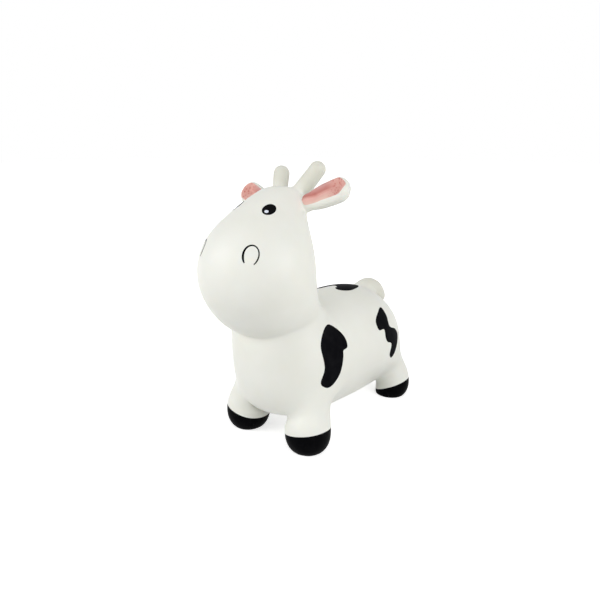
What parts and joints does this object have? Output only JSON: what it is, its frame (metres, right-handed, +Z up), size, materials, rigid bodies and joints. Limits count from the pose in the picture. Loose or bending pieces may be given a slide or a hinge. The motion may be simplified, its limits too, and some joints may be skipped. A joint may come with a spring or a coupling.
{
  "type": "inflatable animal hopper",
  "caption": "Inflated cow-shaped bouncer that a child sits on and rides, with bending horns and ears to hold on to and soft springy feet.",
  "frame": {"origin": "on the floor, at the middle of the plan of the whole cow", "axes": "+Z up, the cow faces -Y and its left side is at +X"},
  "size_m": [0.2536, 0.5112, 0.5099],
  "materials": {
    "white_vinyl": "satin",
    "black_paint": "semi-gloss",
    "pink_paint": "satin",
    "glint_paint": "satin",
    "clear_plastic": "translucent satin"
  },
  "bodies": {
    "body": {"back_patch": "black_paint", "ear_root_left": "white_vinyl", "ear_root_right": "white_vinyl", "eye_glint_left": "glint_paint", "eye_glint_right": "glint_paint", "eye_left": "black_paint", "eye_right": "black_paint", "head": "white_vinyl", "horn_root_left": "white_vinyl", "horn_root_right": "white_vinyl", "leg_front_left": "white_vinyl", "leg_front_right": "white_vinyl", "leg_rear_left": "white_vinyl", "leg_rear_right": "white_vinyl", "nostril_left": "black_paint", "nostril_right": "black_paint", "rump_patch_left": "black_paint", "rump_patch_right": "black_paint", "shoulder_patch_left": "black_paint", "shoulder_patch_right": "black_paint", "tail": "white_vinyl", "torso": "white_vinyl", "valve_seat": "white_vinyl"},
    "hoof_front_left": {"hoof_front_left": "black_paint"},
    "hoof_front_right": {"hoof_front_right": "black_paint"},
    "hoof_rear_left": {"hoof_rear_left": "black_paint"},
    "hoof_rear_right": {"hoof_rear_right": "black_paint"},
    "horn_left": {"horn_left": "white_vinyl"},
    "ear_left": {"ear_left": "white_vinyl", "ear_lining_left": "pink_paint"},
    "horn_right": {"horn_right": "white_vinyl"},
    "ear_right": {"ear_right": "white_vinyl", "ear_lining_right": "pink_paint"},
    "air_plug": {"air_plug": "clear_plastic"}
  },
  "joints": [
    {"name": "bounce_front_left", "type": "slide", "parent": "body", "child": "hoof_front_left", "axis": [0, 0, 1], "range_m": [0, 0.01], "stiffness_N_per_m": 5000, "deforming": ["leg_front_left"]},
    {"name": "bounce_front_right", "type": "slide", "parent": "body", "child": "hoof_front_right", "axis": [0, 0, 1], "range_m": [0, 0.01], "stiffness_N_per_m": 5000, "deforming": ["leg_front_right"]},
    {"name": "bounce_rear_left", "type": "slide", "parent": "body", "child": "hoof_rear_left", "axis": [0, 0, 1], "range_m": [0, 0.01], "stiffness_N_per_m": 5000, "deforming": ["leg_rear_left"]},
    {"name": "bounce_rear_right", "type": "slide", "parent": "body", "child": "hoof_rear_right", "axis": [0, 0, 1], "range_m": [0, 0.01], "stiffness_N_per_m": 5000, "deforming": ["leg_rear_right"]},
    {"name": "horn_flex_left", "type": "hinge", "parent": "body", "child": "horn_left", "pos_m": [0.02492, -0.06755, 0.46337], "axis": [-0.889, 0, 0.4579], "range_deg": [-20, 20], "stiffness_Nm_per_rad": 2, "deforming": ["horn_root_left"]},
    {"name": "horn_flex_right", "type": "hinge", "parent": "body", "child": "horn_right", "pos_m": [-0.03079, -0.0652, 0.46194], "axis": [-0.8944, 0, -0.4472], "range_deg": [-20, 20], "stiffness_Nm_per_rad": 2, "deforming": ["horn_root_right"]},
    {"name": "ear_flex_left", "type": "hinge", "parent": "body", "child": "ear_left", "pos_m": [0.05689, -0.08804, 0.44509], "axis": [-0.4287, 0.4517, 0.7824], "range_deg": [-20, 20], "stiffness_Nm_per_rad": 1, "deforming": ["ear_root_left"]},
    {"name": "ear_flex_right", "type": "hinge", "parent": "body", "child": "ear_right", "pos_m": [-0.05568, -0.07445, 0.43238], "axis": [-0.3611, -0.4663, -0.8076], "range_deg": [-20, 20], "stiffness_Nm_per_rad": 1, "deforming": ["ear_root_right"]},
    {"name": "air_plug_pull", "type": "slide", "parent": "body", "child": "air_plug", "axis": [-0.0651, 0.0248, -0.9976], "range_m": [0, 0.022]}
  ]
}
